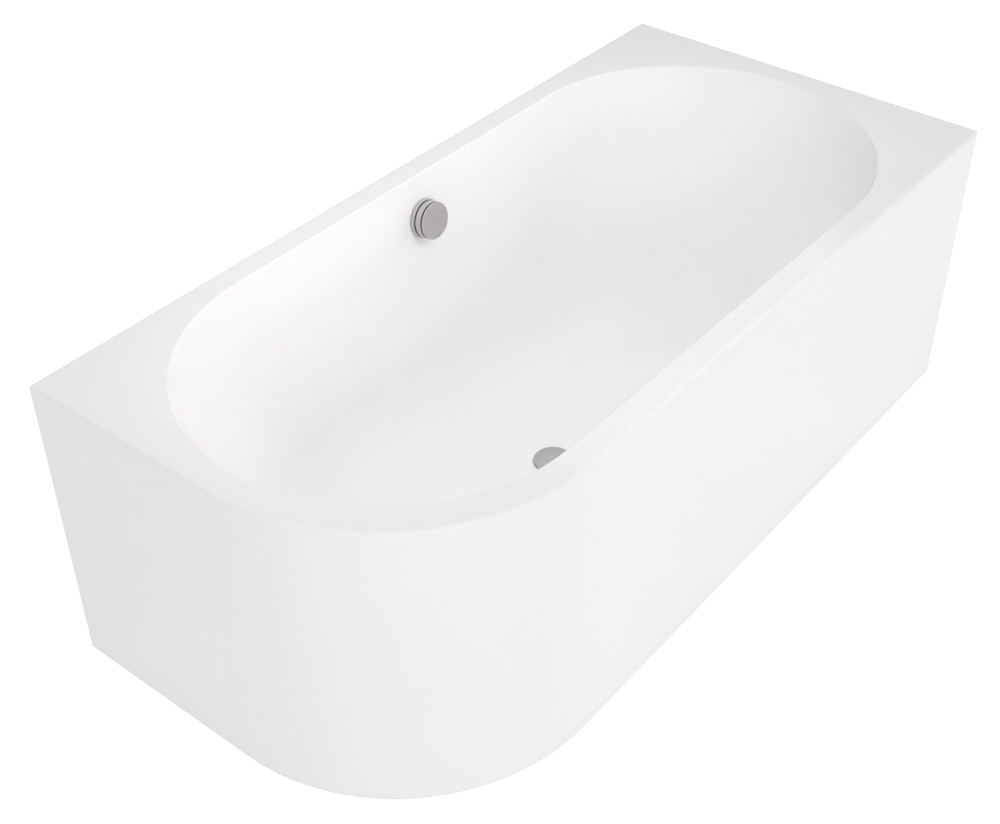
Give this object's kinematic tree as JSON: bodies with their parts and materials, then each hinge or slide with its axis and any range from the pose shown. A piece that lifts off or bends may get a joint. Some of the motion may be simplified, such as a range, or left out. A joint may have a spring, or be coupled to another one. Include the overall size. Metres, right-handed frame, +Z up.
{
  "type": "asymmetric corner bathtub",
  "caption": "White corner bath with one rounded corner, a seamless skirt, an oval basin, a turn knob at the overflow and a pop-up drain plug, on levelling feet.",
  "frame": {"origin": "on the floor, below the middle of the bath's box", "axes": "+X along the length towards the right end wall, -Y the front with the skirt, +Z up"},
  "size_m": [1.7, 0.81, 0.6],
  "materials": {
    "white_acrylic": "polished sanitary acrylic",
    "chipboard": "raw chipboard",
    "softwood": "planed softwood",
    "galvanised_steel": "zinc coated steel",
    "zinc_fastener": "bright zinc",
    "satin_chrome": "chrome with a finely turned face",
    "stainless": "stainless steel",
    "brass": "turned brass",
    "black_rubber": "black sealing rubber",
    "white_pipe": "white polypropylene",
    "black_plastic": "black moulded plastic",
    "grey_cable": "grey cable sleeve"
  },
  "bodies": {
    "tub": {"tub_shell": "white_acrylic", "apron": "white_acrylic", "base_board": "chipboard", "rim_batten_back": "softwood", "rim_batten_front": "softwood", "rim_batten_left": "softwood", "rim_batten_right": "softwood", "leg_rail_left": "galvanised_steel", "leg_rail_right": "galvanised_steel", "rail_end_caps": "black_plastic", "rail_screws": "zinc_fastener", "foot_weld_nuts": "zinc_fastener", "foot_lock_nuts": "zinc_fastener", "apron_struts_front": "galvanised_steel", "apron_strut_left": "galvanised_steel", "apron_blocks": "softwood", "strut_screws": "zinc_fastener", "strut_bolts": "zinc_fastener", "wall_angles": "galvanised_steel", "wall_angle_screws": "zinc_fastener", "overflow_seal_front": "black_rubber", "overflow_rosette": "satin_chrome", "overflow_seal_back": "black_rubber", "overflow_body": "white_pipe", "overflow_screws": "stainless", "cable_box": "black_plastic", "bowden_cable": "grey_cable", "cable_clips": "black_plastic", "overflow_pipe": "white_pipe", "pipe_nuts": "white_pipe", "pipe_seals": "black_rubber", "waste_flange": "stainless", "waste_gasket_upper": "black_rubber", "waste_gasket_lower": "black_rubber", "waste_body": "white_pipe", "trap_cap": "white_pipe", "trap_seal": "black_rubber", "lever_housing": "black_plastic"},
    "knob": {"knob_ring": "satin_chrome", "knob_cap": "satin_chrome", "knob_spindle": "brass", "cable_drum": "black_plastic"},
    "plug": {"plug_cover": "satin_chrome", "plug_stem": "brass", "plug_seal": "black_rubber"},
    "rocker": {"rocker_shaft": "stainless", "rocker_finger": "black_plastic", "rocker_drum": "black_plastic"},
    "foot_front_left": {"foot_stud_front_left": "zinc_fastener", "foot_pad_front_left": "black_plastic"},
    "foot_front_right": {"foot_stud_front_right": "zinc_fastener", "foot_pad_front_right": "black_plastic"},
    "foot_back_left": {"foot_stud_back_left": "zinc_fastener", "foot_pad_back_left": "black_plastic"},
    "foot_back_right": {"foot_stud_back_right": "zinc_fastener", "foot_pad_back_right": "black_plastic"}
  },
  "joints": [
    {"name": "knob_turn", "type": "hinge", "parent": "tub", "child": "knob", "pos_m": [0.0275, 0.34421, 0.509], "axis": [0, -0.9903, 0.1392], "range_deg": [0, 75]},
    {"name": "plug_lift", "type": "slide", "parent": "tub", "child": "plug", "axis": [0, 0, 1], "range_m": [0, 0.0119]},
    {"name": "rocker_turn", "type": "hinge", "parent": "tub", "child": "rocker", "pos_m": [0, -0.01334, 0.046], "axis": [1, 0, 0], "range_deg": [0, 50]},
    {"name": "foot_front_left_level", "type": "slide", "parent": "tub", "child": "foot_front_left", "axis": [0, 0, 1], "range_m": [-0.02, 0.002]},
    {"name": "foot_front_right_level", "type": "slide", "parent": "tub", "child": "foot_front_right", "axis": [0, 0, 1], "range_m": [-0.02, 0.002]},
    {"name": "foot_back_left_level", "type": "slide", "parent": "tub", "child": "foot_back_left", "axis": [0, 0, 1], "range_m": [-0.02, 0.002]},
    {"name": "foot_back_right_level", "type": "slide", "parent": "tub", "child": "foot_back_right", "axis": [0, 0, 1], "range_m": [-0.02, 0.002]}
  ],
  "couplings": [
    {"joint": "plug_lift", "follows": "knob_turn", "m_per_rad": 0.00904},
    {"joint": "rocker_turn", "follows": "knob_turn", "ratio": 0.66667}
  ]
}
